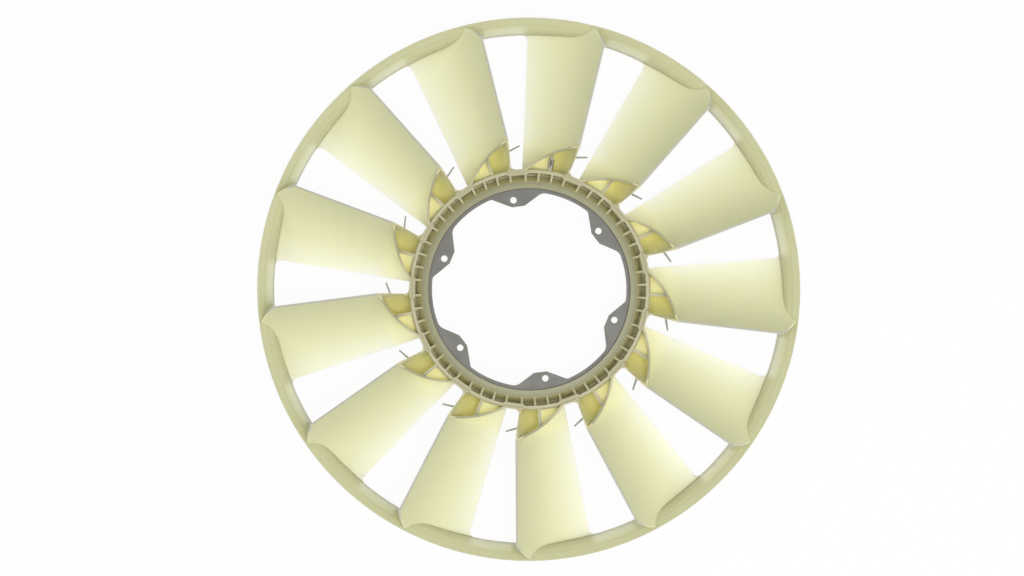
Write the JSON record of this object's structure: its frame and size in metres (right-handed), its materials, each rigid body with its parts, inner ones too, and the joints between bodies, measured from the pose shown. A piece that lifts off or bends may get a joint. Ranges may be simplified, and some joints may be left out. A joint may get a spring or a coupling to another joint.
{
  "type": "radiator fan wheel",
  "caption": "Moulded axial cooling fan for a truck radiator, with a flared outer ring, curved blades, a ribbed hub and a bolt-on steel centre plate.",
  "frame": {"origin": "centre of the bolt circle, on the front face of the steel mounting plate", "axes": "+Z along the wheel's axis, out of the ribbed front of the hub and the flared mouth of the ring; +Y towards the top of the picture, +X towards its right"},
  "size_m": [0.75, 0.75, 0.081],
  "materials": {
    "polyamide": "satin natural polyamide, slightly translucent",
    "plate_steel": "dull pickled steel sheet",
    "clip_steel": "bright zinc-plated spring steel"
  },
  "bodies": {
    "root": {"fan_wheel": "polyamide", "steel_insert": "plate_steel", "balance_clip": "clip_steel"}
  },
  "joints": []
}
